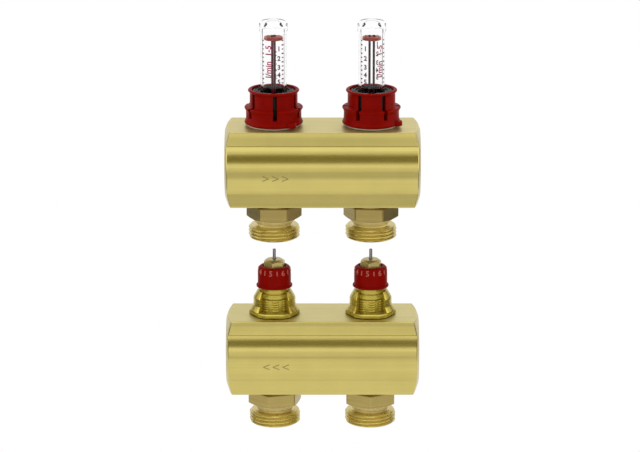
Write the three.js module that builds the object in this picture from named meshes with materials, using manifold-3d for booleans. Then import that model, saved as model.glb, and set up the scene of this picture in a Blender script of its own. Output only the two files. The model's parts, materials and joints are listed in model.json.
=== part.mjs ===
// Two-circuit heating manifold: a supply bar with flow meters, and below it a return bar with
// preset valve inserts. Millimetres, +Z up, +X along the bars, +Y towards the wall behind them.
// The origin is the middle of the supply bar's bore.

import * as THREE from 'three';
import { mergeVertices } from 'three/addons/utils/BufferGeometryUtils.js';
import Module from 'manifold-3d';

const wasm = await Module();
wasm.setup();

// ---- Driving dimensions -------------------------------------------------------------------

const GAP = 0.3;                  // between faces that touch on the real object
const CUT = 1;                    // how far a cutter runs past the face it cuts
const SIDES = 16;                 // facets on a large round face
const INNER_SIDES = 12;           // facets on a small or hidden round face

// Bars
const CIRCUIT_PITCH = 50;
const BARS_APART = 100.5;         // between the bars' axes
const BAR_LENGTH = 100;
const BAR_HALF_HEIGHT = 19.8;
const BAR_HALF_DEPTH = 17;
const BARREL_R = 21;              // round front and back
const BARREL_SEGMENTS = 10;
const END_FACE_R = 17.3;          // flat part of each end
const END_CONE_R = 30;
const END_CONE_SLOPE = 0.34;      // axial inset per millimetre of radius
const END_CONE_SIDES = 32;
const BORE_R = 13.5;
const SOCKET_R = 15.15;           // G1 internal thread, minor radius
const SOCKET_DEPTH = 14;
const SOCKET_CHAMFER = 0.7;

// Ports in the bars, one above and one below the bore for each circuit
const PORT_R = 10.4;
const SHANK_R = 10;               // thread of whatever screws into a port
const SEAL_POCKET_R = 12.3;
const SEAL_POCKET_DEPTH = 1.8;

// Outlets, G3/4 with an internal cone
const HEX_FLATS = 25;
const HEX_ROUND_R = 14.2;
const HEX_CHAMFER = { cornerLow: -8.2, coneR: 12, coneTop: -9, neckR: 9.2, low: -11.9 };
const NECK_R = 8.9;
const COLLAR_TOP = 13;
const COLLAR_R = 13.2;
const COLLAR_CHAMFER = 0.9;
const OUTLET_LENGTH = 19.5;
const OUTLET_BORE_R = 7.2;
const OUTLET_MOUTH_R = 9.2;
const MOUTH_DEPTH = 4.5;
const SHANK_REACH = 5;            // into the bar
const SEAT_LIP_R = 5.5;           // valve seat on the return outlets
const SEAT_LIP_HEIGHT = 1.5;

// Flow meter, heights above the supply bar's top face
const FLANGE_R = 13.6;
const FLANGE_TOP = 0.9;
const INSERT_NECK_R = 9.6;
const INSERT_NECK_TOP = 7.5;
const INSERT_BORE_R = 6.6;
const INSERT_SHANK_BOTTOM = -7;
const CAGE_R = 8.8;
const CAGE_BORE_R = 7.6;
const CAGE_BOTTOM = -34.2;
const CAGE_WINDOW = { width: 7, low: -26, high: -14 };
const GUIDE = { low: -11, high: -9, holeR: 1.65 };
const SLEEVE = { outerR: 7.3, innerR: 6.4, low: -31, high: -17 };
const ADJUST_COLLAR = { outerR: 10.8, low: 1.2, shoulder: 18.2, top: 18.7, topR: 10.2 };
const GLASS_SOCKET_R = 7.1;
const GLASS = { outerR: 6.75, boreR: 5.4, low: 9, boreTop: 50.2, capLow: 49, capR: 7.25, top: 54.8 };
const GLASS_SEAL = { innerR: 7.05, outerR: 7.9, low: 11.3, high: 12.3 };
const LOCK_RING = { innerR: 11.2, low: 1.2, skirtTop: 10.1, skirtR: 14.1, skirtRimR: 15,
  upperR: 12.2, lipLow: 18, lipR: 13.1, top: 19.1, rim: 1.4 };
const LOCK_SLOT = { count: 6, width: 2.1, low: 5, high: 18 };
const LOCK_TAB = { r: 2.8, at: 14.2, height: 2.6 };
const BAFFLE = { r: 5.8, low: -37, high: -35.8 };
const STEM = { r: 1.25, low: -37.6, shoulderLow: 14.2, shoulderR: 2.4, shoulderHeight: 1.2 };
const FORK = { rodR: 0.6, halfSpacing: 1.1, top: 47.7 };
const DISC = { r: 4.85, low: 44.8, high: 46.4 };
const METER_SPRING = { r: 2.75, wireR: 0.25, turns: 6 };

// Valve insert, heights above the return bar's top face
const VALVE_HEX_FLATS = 24.6;
const VALVE_HEX_TURN = 30;
const VALVE_FLANGE_R = 13.15;
const VALVE_FLANGE_TOP = 2.4;
const VALVE_BORE_R = 5.9;
const VALVE_CORE = { threadR: 7.9, threadTop: 8.7, ringR: 7.8, ringLow: 9.3, ringTop: 11.5,
  neckR: 7.3, neckLow: 12.2, neckTop: 14.4, grooveR: 6.9 };
const VALVE_WING = { innerR: 6.6, footR: 12.8, flare: 5.2, outerR: 10.9, shoulder: 8.9, topR: 8.6,
  top: 12.9, notch: 14.4 };
const PRESET_RING = { low: 14.7, flangeR: 9.35, flangeTop: 15.7, r: 8.6, scaleLow: 21.4, scaleR: 8.1,
  scaleTop: 25, rimR: 7.2, top: 25.7, openingR: 6.1 };
const THROTTLE = { tubeR: 5.6, boreR: 3.7, top: 24.6, webLow: -4, webHigh: -2, webHoleR: 1.75,
  flareTop: -8, drumTop: -10, drumR: 7.8, drumBoreR: 6.9, low: -34.2 };
const THROTTLE_WINDOW = { width: 5, low: -29, high: -17 };
const GLAND = { flats: 10, roundR: 5.7, chamferLow: 27.9, topR: 4, top: 29.2, shankR: 3.4, shankLow: 19,
  holeR: 1.1 };
const GLAND_SEAL = { low: 16.5, high: 18.7 };
const PIN = { r: 0.8, low: 11.8, top: 34.6 };
const SPINDLE = { r: 1.4, low: -32.4, shoulderLow: 8.6, shoulderR: 3.3, shoulderTop: 10.2,
  bossR: 2.2, top: 11.5 };
const CONE = { r: 6.4, low: -31.8, high: -29.4, bossR: 3, bossTop: -28 };
const VALVE_SPRING = { r: 2.6, wireR: 0.3, turns: 5 };

// How each circuit's pieces came to be turned when they were screwed in, in degrees.
const CIRCUITS = [
  { number: 1, x: -CIRCUIT_PITCH / 2, supplyHexTurn: 29, returnHexTurn: -13, slotTurn: 3.5,
    tabAt: -52, forkTurn: 62, glandTurn: -10 },
  { number: 2, x: CIRCUIT_PITCH / 2, supplyHexTurn: 24.5, returnHexTurn: 0, slotTurn: 30,
    tabAt: -25, forkTurn: 6, glandTurn: -10 },
];

const FINISHES = {
  brass: { color: 0xc9b268, roughness: 0.34, metalness: 1 },
  insertBrass: { color: 0xb8923f, roughness: 0.38, metalness: 1 },
  steel: { color: 0x9a968c, roughness: 0.32, metalness: 1 },
  springSteel: { color: 0xb4b4b2, roughness: 0.3, metalness: 1 },
  redPlastic: { color: 0xa8141c, roughness: 0.42, metalness: 0 },
  blackPlastic: { color: 0x1b211d, roughness: 0.45, metalness: 0 },
  palePlastic: { color: 0xd8d6cf, roughness: 0.5, metalness: 0 },
  coralPlastic: { color: 0xd8463a, roughness: 0.4, metalness: 0 },
  darkPlastic: { color: 0x3a2a2a, roughness: 0.45, metalness: 0 },
  clearPlastic: { color: 0xe9ecec, roughness: 0.05, metalness: 0, transparent: true, opacity: 0.3 },
  rubber: { color: 0x161616, roughness: 0.8, metalness: 0 },
};

// ---- Making solids ------------------------------------------------------------------------

const radians = THREE.MathUtils.degToRad;

function signedVolume(position, index) {
  const corners = [new THREE.Vector3(), new THREE.Vector3(), new THREE.Vector3()];
  let volume = 0;
  for (let i = 0; i < index.length; i += 3) {
    corners.forEach((corner, k) => corner.fromBufferAttribute(position, index[i + k]));
    volume += corners[0].dot(corners[1].cross(corners[2])) / 6;
  }
  return volume;
}

// Turns a closed three.js geometry into a solid that can be joined and cut.
function solid(geometry) {
  geometry.deleteAttribute('normal');
  geometry.deleteAttribute('uv');
  const merged = mergeVertices(geometry, 1e-4);
  const index = [];
  for (let i = 0; i < merged.index.count; i += 3) {
    const [a, b, c] = [0, 1, 2].map((k) => merged.index.getX(i + k));
    if (a !== b && b !== c && c !== a) index.push(a, b, c);
  }
  if (signedVolume(merged.attributes.position, index) < 0) index.reverse();
  return new wasm.Manifold(new wasm.Mesh({
    numProp: 3,
    vertProperties: new Float32Array(merged.attributes.position.array),
    triVerts: new Uint32Array(index),
  }));
}

// A solid turned about Z from [radius, height] points. A ring's outline closes on itself.
function turned(outline, sides = SIDES) {
  const points = outline.map(([radius, height]) => new THREE.Vector2(radius, height));
  const first = points[0];
  if (first.x > 0) points.push(first.clone());
  return solid(new THREE.LatheGeometry(points, sides).rotateX(Math.PI / 2));
}

function disc(radius, low, high, sides = SIDES) {
  return turned([[0, low], [radius, low], [radius, high], [0, high]], sides);
}

function ring(innerR, outerR, low, high, sides = INNER_SIDES) {
  return turned([[innerR, low], [outerR, low], [outerR, high], [innerR, high]], sides);
}

function hexagon(acrossFlats, low, high, turn = 0) {
  const radius = acrossFlats / 2 / Math.cos(Math.PI / 6);
  const geometry = new THREE.CylinderGeometry(radius, radius, high - low, 6);
  geometry.rotateX(Math.PI / 2).rotateZ(radians(turn)).translate(0, 0, (low + high) / 2);
  return solid(geometry);
}

function block(size, centre, turn = 0) {
  return solid(new THREE.BoxGeometry(...size).translate(...centre).rotateZ(radians(turn)));
}

class Helix extends THREE.Curve {
  constructor(radius, low, high, turns) {
    super();
    Object.assign(this, { radius, low, high, turns });
  }

  getPoint(t, target = new THREE.Vector3()) {
    const angle = t * this.turns * 2 * Math.PI;
    const height = this.low + (this.high - this.low) * t;
    return target.set(this.radius * Math.cos(angle), this.radius * Math.sin(angle), height);
  }
}

function spring({ r, wireR, turns }, low, high) {
  const wireSides = 4;
  const stepsPerTurn = 8;
  const section = new THREE.Shape();
  for (let side = 0; side < wireSides; side += 1) {
    const angle = (side / wireSides) * 2 * Math.PI;
    const corner = [wireR * Math.cos(angle), wireR * Math.sin(angle)];
    if (side === 0) section.moveTo(...corner);
    else section.lineTo(...corner);
  }
  return solid(new THREE.ExtrudeGeometry(section, {
    steps: turns * stepsPerTurn,
    extrudePath: new Helix(r, low + wireR, high - wireR, turns),
  }));
}

// Cuts boxes through a tube's wall, evenly spaced about Z.
function cutWindows(body, { count, width, low, high }, innerR, outerR, turn = 0) {
  let result = body;
  for (let i = 0; i < count; i += 1) {
    const size = [outerR - innerR, width, high - low];
    const centre = [(innerR + outerR) / 2, 0, (low + high) / 2];
    result = result.subtract(block(size, centre, turn + (i * 360) / count));
  }
  return result;
}

function addPart(parent, name, body, finish) {
  const mesh = body.getMesh();
  const geometry = new THREE.BufferGeometry();
  geometry.setAttribute('position', new THREE.BufferAttribute(mesh.vertProperties, 3));
  geometry.setIndex(new THREE.BufferAttribute(mesh.triVerts, 1));
  geometry.computeVertexNormals();
  const part = new THREE.Mesh(geometry, new THREE.MeshStandardMaterial(FINISHES[finish]));
  part.name = name;
  parent.add(part);
}

function addGroup(parent, x, y, z) {
  const group = new THREE.Group();
  group.position.set(x, y, z);
  parent.add(group);
  return group;
}

// ---- Bars and what both bars carry --------------------------------------------------------

// Turned about X instead of Z.
function turnedAlongBar(outline, sides) {
  return turned(outline, sides).rotate([0, 90, 0]);
}

function barBlank() {
  const outline = new THREE.Shape();
  const crease = Math.acos(BAR_HALF_DEPTH / BARREL_R);
  outline.moveTo(-BAR_HALF_DEPTH, -BAR_HALF_HEIGHT);
  outline.lineTo(BAR_HALF_DEPTH, -BAR_HALF_HEIGHT);
  outline.absarc(0, 0, BARREL_R, -crease, crease, false);
  outline.lineTo(BAR_HALF_DEPTH, BAR_HALF_HEIGHT);
  outline.lineTo(-BAR_HALF_DEPTH, BAR_HALF_HEIGHT);
  outline.absarc(0, 0, BARREL_R, Math.PI - crease, Math.PI + crease, false);
  outline.closePath();
  const geometry = new THREE.ExtrudeGeometry(outline, {
    depth: BAR_LENGTH,
    bevelEnabled: false,
    curveSegments: BARREL_SEGMENTS,
  });
  geometry.translate(0, 0, -BAR_LENGTH / 2);
  const alongX = new THREE.Matrix4().makeBasis(
    new THREE.Vector3(0, 1, 0),
    new THREE.Vector3(0, 0, 1),
    new THREE.Vector3(1, 0, 0),
  );
  return solid(geometry.applyMatrix4(alongX));
}

// The shallow cone that both ends are turned to, outside their flat faces.
function endEnvelope() {
  const end = BAR_LENGTH / 2;
  const coneEnd = end - END_CONE_SLOPE * (END_CONE_R - END_FACE_R);
  return turnedAlongBar([
    [0, -end],
    [END_FACE_R, -end],
    [END_CONE_R, -coneEnd],
    [END_CONE_R, coneEnd],
    [END_FACE_R, end],
    [0, end],
  ], END_CONE_SIDES);
}

function mainBore() {
  const end = BAR_LENGTH / 2;
  const socketEnd = end - SOCKET_DEPTH;
  const boreEnd = socketEnd - (SOCKET_R - BORE_R);
  const half = [
    [SOCKET_R + SOCKET_CHAMFER, end + CUT],
    [SOCKET_R + SOCKET_CHAMFER, end],
    [SOCKET_R, end - SOCKET_CHAMFER],
    [SOCKET_R, socketEnd],
    [BORE_R, boreEnd],
  ];
  const otherHalf = half.map(([radius, x]) => [radius, -x]).reverse();
  return turnedAlongBar([[0, end + CUT], ...half, ...otherHalf, [0, -end - CUT]], SIDES);
}

function portCutter() {
  const top = BAR_HALF_HEIGHT;
  return turned([
    [0, 0],
    [PORT_R, 0],
    [PORT_R, top - SEAL_POCKET_DEPTH],
    [SEAL_POCKET_R, top - SEAL_POCKET_DEPTH],
    [SEAL_POCKET_R, top + CUT],
    [0, top + CUT],
  ]);
}

function bar() {
  let body = barBlank().intersect(endEnvelope()).subtract(mainBore());
  const upper = portCutter();
  const lower = upper.mirror([0, 0, 1]);
  for (const { x } of CIRCUITS) {
    body = body.subtract(upper.translate([x, 0, 0])).subtract(lower.translate([x, 0, 0]));
  }
  return body;
}

// A flat seal in a port's pocket, measured from the bar's face into the bar.
function portSeal() {
  return ring(SHANK_R + GAP, SEAL_POCKET_R - GAP, GAP - SEAL_POCKET_DEPTH, 0, SIDES);
}

// Hangs from the bar's bottom face, which is at height 0.
function outlet(hexTurn, hasSeat) {
  const end = -OUTLET_LENGTH;
  const body = turned([
    [OUTLET_BORE_R, SHANK_REACH],
    [OUTLET_BORE_R, end + MOUTH_DEPTH],
    [OUTLET_MOUTH_R, end],
    [COLLAR_R - COLLAR_CHAMFER, end],
    [COLLAR_R, end + COLLAR_CHAMFER],
    [COLLAR_R, -COLLAR_TOP],
    [NECK_R, -COLLAR_TOP],
    [NECK_R, HEX_CHAMFER.coneTop],
    [SHANK_R, HEX_CHAMFER.coneTop],
    [SHANK_R, SHANK_REACH],
  ]);
  const { cornerLow, coneR, coneTop, neckR, low } = HEX_CHAMFER;
  const chamfered = turned([
    [OUTLET_BORE_R, low],
    [neckR, low],
    [coneR, coneTop],
    [HEX_ROUND_R, cornerLow],
    [HEX_ROUND_R, -GAP],
    [OUTLET_BORE_R, -GAP],
  ]);
  const hex = hexagon(HEX_FLATS, low, -GAP, hexTurn).intersect(chamfered);
  const whole = body.add(hex);
  if (!hasSeat) return whole;
  return whole.add(ring(SEAT_LIP_R, SHANK_R, SHANK_REACH - SEAT_LIP_HEIGHT, SHANK_REACH, SIDES));
}

function addOutlet(parent, side, number, hexTurn, hasSeat) {
  const below = addGroup(parent, 0, 0, -BAR_HALF_HEIGHT);
  addPart(below, `${side}_outlet_${number}`, outlet(hexTurn, hasSeat), 'brass');
  addPart(below, `${side}_outlet_seal_${number}`, portSeal().mirror([0, 0, 1]), 'rubber');
}

// ---- Flow meter ---------------------------------------------------------------------------

function flowInsertBody() {
  const body = turned([
    [INSERT_BORE_R, INSERT_NECK_TOP],
    [INSERT_BORE_R, GUIDE.high],
    [GUIDE.holeR, GUIDE.high],
    [GUIDE.holeR, GUIDE.low],
    [CAGE_BORE_R, GUIDE.low],
    [CAGE_BORE_R, CAGE_BOTTOM],
    [CAGE_R, CAGE_BOTTOM],
    [CAGE_R, INSERT_SHANK_BOTTOM],
    [SHANK_R, INSERT_SHANK_BOTTOM],
    [SHANK_R, GAP],
    [FLANGE_R, GAP],
    [FLANGE_R, FLANGE_TOP],
    [INSERT_NECK_R, FLANGE_TOP],
    [INSERT_NECK_R, INSERT_NECK_TOP],
  ]);
  return cutWindows(body, { count: 4, ...CAGE_WINDOW }, CAGE_BORE_R - CUT, CAGE_R + CUT, 45);
}

function adjustingCollar() {
  const { outerR, low, shoulder, top, topR } = ADJUST_COLLAR;
  const skirtInnerR = INSERT_NECK_R + GAP;
  const ledge = INSERT_NECK_TOP + GAP;
  const grooveLow = GLASS_SEAL.low - GAP;
  const grooveHigh = GLASS_SEAL.high + GAP;
  const grooveR = GLASS_SEAL.outerR + GAP;
  return turned([
    [skirtInnerR, low],
    [outerR, low],
    [outerR, shoulder],
    [topR, shoulder],
    [topR, top],
    [GLASS_SOCKET_R, top],
    [GLASS_SOCKET_R, grooveHigh],
    [grooveR, grooveHigh],
    [grooveR, grooveLow],
    [GLASS_SOCKET_R, grooveLow],
    [GLASS_SOCKET_R, GLASS.low - GAP],
    [GLASS.boreR, GLASS.low - GAP],
    [GLASS.boreR, ledge],
    [skirtInnerR, ledge],
  ]);
}

function sightGlass() {
  const { outerR, boreR, low, boreTop, capLow, capR, top } = GLASS;
  const crown = 2.4;
  const outline = [
    [0, boreTop],
    [boreR, boreTop],
    [boreR, low],
    [outerR, low],
    [outerR, capLow],
    [capR, capLow],
  ];
  const steps = 3;
  for (let step = 0; step <= steps; step += 1) {
    const angle = ((Math.PI / 2) * step) / steps;
    outline.push([capR - crown * (1 - Math.cos(angle)), top - crown * (1 - Math.sin(angle))]);
  }
  outline.push([0, top]);
  return turned(outline);
}

function lockingRing(slotTurn, tabAt) {
  const { innerR, low, skirtTop, skirtR, skirtRimR, upperR, lipLow, lipR, top, rim } = LOCK_RING;
  const body = turned([
    [innerR, low],
    [skirtRimR, low],
    [skirtRimR, low + rim],
    [skirtR, low + rim],
    [skirtR, skirtTop - rim],
    [skirtRimR, skirtTop - rim],
    [skirtRimR, skirtTop],
    [upperR, skirtTop],
    [upperR, lipLow],
    [lipR, lipLow],
    [lipR, top],
    [innerR, top],
  ]);
  const tabAngle = radians(tabAt);
  const tab = disc(LOCK_TAB.r, low, low + LOCK_TAB.height, INNER_SIDES)
    .translate([LOCK_TAB.at * Math.cos(tabAngle), LOCK_TAB.at * Math.sin(tabAngle), 0])
    .subtract(disc(skirtR, low - CUT, top));
  return cutWindows(body, LOCK_SLOT, innerR - CUT, skirtRimR + CUT, slotTurn - 90).add(tab);
}

function indicatorStem(forkTurn) {
  const { r, low, shoulderLow, shoulderR, shoulderHeight } = STEM;
  const shoulderTop = shoulderLow + shoulderHeight;
  const stem = turned([
    [0, low],
    [r, low],
    [r, shoulderLow],
    [shoulderR, shoulderLow],
    [shoulderR, shoulderTop],
    [0, shoulderTop],
  ], INNER_SIDES);
  const rod = disc(FORK.rodR, shoulderTop - shoulderHeight / 2, FORK.top, 8);
  return stem
    .add(rod.translate([-FORK.halfSpacing, 0, 0]))
    .add(rod.translate([FORK.halfSpacing, 0, 0]))
    .rotate([0, 0, forkTurn]);
}

function indicatorDisc(forkTurn) {
  const slotLength = 2 * (FORK.halfSpacing + FORK.rodR + GAP);
  const slotWidth = 2 * (FORK.rodR + GAP);
  const height = DISC.high - DISC.low;
  const middle = (DISC.low + DISC.high) / 2;
  const slot = block([slotLength, slotWidth, height + 2 * CUT], [0, 0, middle], forkTurn);
  return disc(DISC.r, DISC.low, DISC.high).subtract(slot);
}

function addFlowMeter(parent, { number, slotTurn, tabAt, forkTurn }) {
  const top = addGroup(parent, 0, 0, BAR_HALF_HEIGHT);
  const name = (piece) => `${piece}_${number}`;
  const sleeve = ring(SLEEVE.innerR, SLEEVE.outerR, SLEEVE.low, SLEEVE.high, SIDES);
  const glassSeal = ring(GLASS_SEAL.innerR, GLASS_SEAL.outerR, GLASS_SEAL.low, GLASS_SEAL.high, SIDES);
  const baffle = ring(STEM.r + GAP, BAFFLE.r, BAFFLE.low, BAFFLE.high);
  const coil = spring(METER_SPRING, GUIDE.high + GAP, STEM.shoulderLow - GAP);
  addPart(top, name('flow_insert_body'), flowInsertBody(), 'palePlastic');
  addPart(top, name('flow_insert_seal'), portSeal(), 'rubber');
  addPart(top, name('regulating_sleeve'), sleeve, 'palePlastic');
  addPart(top, name('adjusting_collar'), adjustingCollar(), 'blackPlastic');
  addPart(top, name('sight_glass'), sightGlass(), 'clearPlastic');
  addPart(top, name('glass_seal'), glassSeal, 'rubber');
  addPart(top, name('locking_ring'), lockingRing(slotTurn, tabAt), 'redPlastic');
  addPart(top, name('indicator_stem'), indicatorStem(forkTurn), 'darkPlastic');
  addPart(top, name('indicator_disc'), indicatorDisc(forkTurn), 'coralPlastic');
  addPart(top, name('baffle_plate'), baffle, 'palePlastic');
  addPart(top, name('indicator_spring'), coil, 'springSteel');
}

// ---- Valve insert -------------------------------------------------------------------------

// Two wings stand beside the core, with an open notch between them at the front and the back.
function valveWings() {
  const { innerR, footR, flare, outerR, shoulder, topR, top, notch } = VALVE_WING;
  const root = VALVE_FLANGE_TOP / 2;
  const wall = turned([
    [innerR, root],
    [footR, root],
    [footR, VALVE_FLANGE_TOP],
    [outerR, flare],
    [outerR, shoulder],
    [topR, top],
    [innerR, top],
  ]);
  return wall.subtract(block([notch, 2 * footR + CUT, 2 * top], [0, 0, top]));
}

function valveBody() {
  const { threadR, threadTop, grooveR, ringR, ringLow, ringTop } = VALVE_CORE;
  const { neckR, neckLow, neckTop } = VALVE_CORE;
  const core = turned([
    [VALVE_BORE_R, INSERT_SHANK_BOTTOM],
    [SHANK_R, INSERT_SHANK_BOTTOM],
    [SHANK_R, VALVE_FLANGE_TOP / 2],
    [threadR, VALVE_FLANGE_TOP / 2],
    [threadR, threadTop],
    [grooveR, threadTop],
    [grooveR, ringLow],
    [ringR, ringLow],
    [ringR, ringTop],
    [grooveR, ringTop],
    [grooveR, neckLow],
    [neckR, neckLow],
    [neckR, neckTop],
    [VALVE_BORE_R, neckTop],
  ]);
  const flange = hexagon(VALVE_HEX_FLATS, GAP, VALVE_FLANGE_TOP, VALVE_HEX_TURN)
    .intersect(disc(VALVE_FLANGE_R, GAP, VALVE_FLANGE_TOP))
    .subtract(disc(VALVE_BORE_R + CUT, 0, VALVE_FLANGE_TOP + CUT));
  return core.add(flange).add(valveWings());
}

function presetRing() {
  const { low, flangeR, flangeTop, r, scaleLow, scaleR, scaleTop, rimR, top, openingR } = PRESET_RING;
  return turned([
    [openingR, low],
    [flangeR, low],
    [flangeR, flangeTop],
    [r, flangeTop],
    [r, scaleLow],
    [scaleR, scaleTop],
    [rimR, top],
    [openingR, top],
  ]);
}

function throttleSleeve() {
  const { tubeR, boreR, top, webLow, webHigh, webHoleR } = THROTTLE;
  const { flareTop, drumTop, drumR, drumBoreR, low } = THROTTLE;
  const wall = drumR - drumBoreR;
  const body = turned([
    [boreR, top],
    [boreR, webHigh],
    [webHoleR, webHigh],
    [webHoleR, webLow],
    [boreR, webLow],
    [boreR, flareTop - wall],
    [drumBoreR, drumTop - wall],
    [drumBoreR, low],
    [drumR, low],
    [drumR, drumTop],
    [tubeR, flareTop],
    [tubeR, top],
  ], INNER_SIDES);
  return cutWindows(body, { count: 2, ...THROTTLE_WINDOW }, drumBoreR - CUT, drumR + CUT);
}

function glandNut(turn) {
  const seat = THROTTLE.top + GAP;
  const shank = disc(GLAND.shankR, GLAND.shankLow, seat + GAP, INNER_SIDES);
  const chamfered = turned([
    [0, seat],
    [GLAND.roundR, seat],
    [GLAND.roundR, GLAND.chamferLow],
    [GLAND.topR, GLAND.top],
    [0, GLAND.top],
  ]);
  return hexagon(GLAND.flats, seat, GLAND.top, turn)
    .intersect(chamfered)
    .add(shank)
    .subtract(disc(GLAND.holeR, GLAND.shankLow - CUT, GLAND.top + CUT, INNER_SIDES));
}

function valveSpindle() {
  const { r, low, shoulderLow, shoulderR, shoulderTop, bossR, top } = SPINDLE;
  return turned([
    [0, low],
    [r, low],
    [r, shoulderLow],
    [shoulderR, shoulderLow],
    [shoulderR, shoulderTop],
    [bossR, shoulderTop],
    [bossR, top],
    [0, top],
  ], INNER_SIDES);
}

function coneDisc() {
  const holeR = SPINDLE.r + GAP;
  return turned([
    [holeR, CONE.low],
    [CONE.r, CONE.low],
    [CONE.r, CONE.high],
    [CONE.bossR, CONE.bossTop],
    [holeR, CONE.bossTop],
  ], INNER_SIDES);
}

function addValveInsert(parent, { number, glandTurn }) {
  const top = addGroup(parent, 0, 0, BAR_HALF_HEIGHT);
  const name = (piece) => `${piece}_${number}`;
  const glandSeal = ring(GLAND.holeR, GLAND.shankR, GLAND_SEAL.low, GLAND_SEAL.high);
  const coil = spring(VALVE_SPRING, THROTTLE.webHigh + GAP, SPINDLE.shoulderLow - GAP);
  addPart(top, name('valve_body'), valveBody(), 'insertBrass');
  addPart(top, name('valve_body_seal'), portSeal(), 'rubber');
  addPart(top, name('preset_ring'), presetRing(), 'redPlastic');
  addPart(top, name('throttle_sleeve'), throttleSleeve(), 'palePlastic');
  addPart(top, name('gland_nut'), glandNut(glandTurn), 'insertBrass');
  addPart(top, name('gland_seal'), glandSeal, 'rubber');
  addPart(top, name('spindle_pin'), disc(PIN.r, PIN.low, PIN.top, INNER_SIDES), 'steel');
  addPart(top, name('valve_spindle'), valveSpindle(), 'insertBrass');
  addPart(top, name('cone_disc'), coneDisc(), 'rubber');
  addPart(top, name('valve_spring'), coil, 'springSteel');
}

// ---- The whole manifold -------------------------------------------------------------------

const manifold = new THREE.Group();
const supply = addGroup(manifold, 0, 0, 0);
const returning = addGroup(manifold, 0, 0, -BARS_APART);

addPart(supply, 'supply_bar', bar(), 'brass');
addPart(returning, 'return_bar', bar(), 'brass');
for (const circuit of CIRCUITS) {
  const supplyCircuit = addGroup(supply, circuit.x, 0, 0);
  addOutlet(supplyCircuit, 'supply', circuit.number, circuit.supplyHexTurn, false);
  addFlowMeter(supplyCircuit, circuit);
  const returnCircuit = addGroup(returning, circuit.x, 0, 0);
  addOutlet(returnCircuit, 'return', circuit.number, circuit.returnHexTurn, true);
  addValveInsert(returnCircuit, circuit);
}

export default manifold;
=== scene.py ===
"""Looks for the two-circuit heating manifold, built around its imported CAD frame.

Shapes are worked out in millimetres about each circuit's axis and placed by the CAD nodes' boxes.
"""

import json
import math
from functools import partial

import bmesh
import bpy
from mathutils import Matrix, Vector

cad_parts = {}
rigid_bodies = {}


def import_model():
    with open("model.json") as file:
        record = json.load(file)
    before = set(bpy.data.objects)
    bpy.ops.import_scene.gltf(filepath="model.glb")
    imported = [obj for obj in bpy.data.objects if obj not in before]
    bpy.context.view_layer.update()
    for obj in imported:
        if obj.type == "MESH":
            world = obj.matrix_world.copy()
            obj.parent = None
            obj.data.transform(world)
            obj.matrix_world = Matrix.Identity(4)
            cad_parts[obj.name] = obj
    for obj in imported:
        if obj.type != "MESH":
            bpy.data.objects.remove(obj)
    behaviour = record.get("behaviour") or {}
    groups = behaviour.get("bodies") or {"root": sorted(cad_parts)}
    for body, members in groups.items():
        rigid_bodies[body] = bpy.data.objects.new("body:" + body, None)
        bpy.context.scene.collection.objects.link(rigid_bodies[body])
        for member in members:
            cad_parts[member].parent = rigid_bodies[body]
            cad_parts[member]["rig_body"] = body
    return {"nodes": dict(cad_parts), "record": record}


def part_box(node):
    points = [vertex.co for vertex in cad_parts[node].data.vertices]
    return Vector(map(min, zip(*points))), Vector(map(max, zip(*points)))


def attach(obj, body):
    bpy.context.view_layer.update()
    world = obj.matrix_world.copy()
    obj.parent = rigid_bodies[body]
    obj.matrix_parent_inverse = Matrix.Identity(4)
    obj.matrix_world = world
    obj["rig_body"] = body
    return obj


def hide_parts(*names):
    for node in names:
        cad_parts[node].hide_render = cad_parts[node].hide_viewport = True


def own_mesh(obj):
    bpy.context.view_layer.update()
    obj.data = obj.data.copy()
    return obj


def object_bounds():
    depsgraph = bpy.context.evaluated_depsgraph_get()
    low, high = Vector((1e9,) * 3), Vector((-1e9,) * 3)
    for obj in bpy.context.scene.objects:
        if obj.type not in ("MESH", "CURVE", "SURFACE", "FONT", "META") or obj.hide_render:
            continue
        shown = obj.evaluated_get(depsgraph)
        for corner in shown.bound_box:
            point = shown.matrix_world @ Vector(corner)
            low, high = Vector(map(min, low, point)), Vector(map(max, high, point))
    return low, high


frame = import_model()
cad_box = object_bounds()

MM = 0.001
TAU = 2 * math.pi
FRONT = -math.pi / 2              # the angle that faces the camera
CIRCUITS = (1, 2)
SIDES = ("supply", "return")
BOTTOM, TOP = 0, 1
NORMAL_COLUMNS = 96
SMALL_COLUMNS = 48


# ---- Outlines ----

def soft(points, radius=0.25, steps=3, closed=False):
    """Rounds the corners of a [radius, height] outline."""
    count = len(points)
    rounded = []
    for i, (x, y) in enumerate(points):
        if not closed and i in (0, count - 1):
            rounded.append((x, y))
            continue
        corner = Vector((x, y))
        before = Vector(points[i - 1]) - corner
        after = Vector(points[(i + 1) % count]) - corner
        reach = min(radius, before.length * 0.45, after.length * 0.45)
        start = corner + before.normalized() * reach
        end = corner + after.normalized() * reach
        for step in range(steps + 1):
            t = step / steps
            point = start * (1 - t) ** 2 + corner * 2 * t * (1 - t) + end * t ** 2
            rounded.append((point.x, point.y))
    return rounded


def section(inner, outer, low, high):
    """The rectangular outline of a plain ring, or of a plain rod where inner is 0."""
    return [(inner, low), (outer, low), (outer, high), (inner, high)]


def even_columns(count=NORMAL_COLUMNS):
    """Columns as (angle, None), for outlines that are the same all round."""
    return [(TAU * i / count, None) for i in range(count + 1)]


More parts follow.
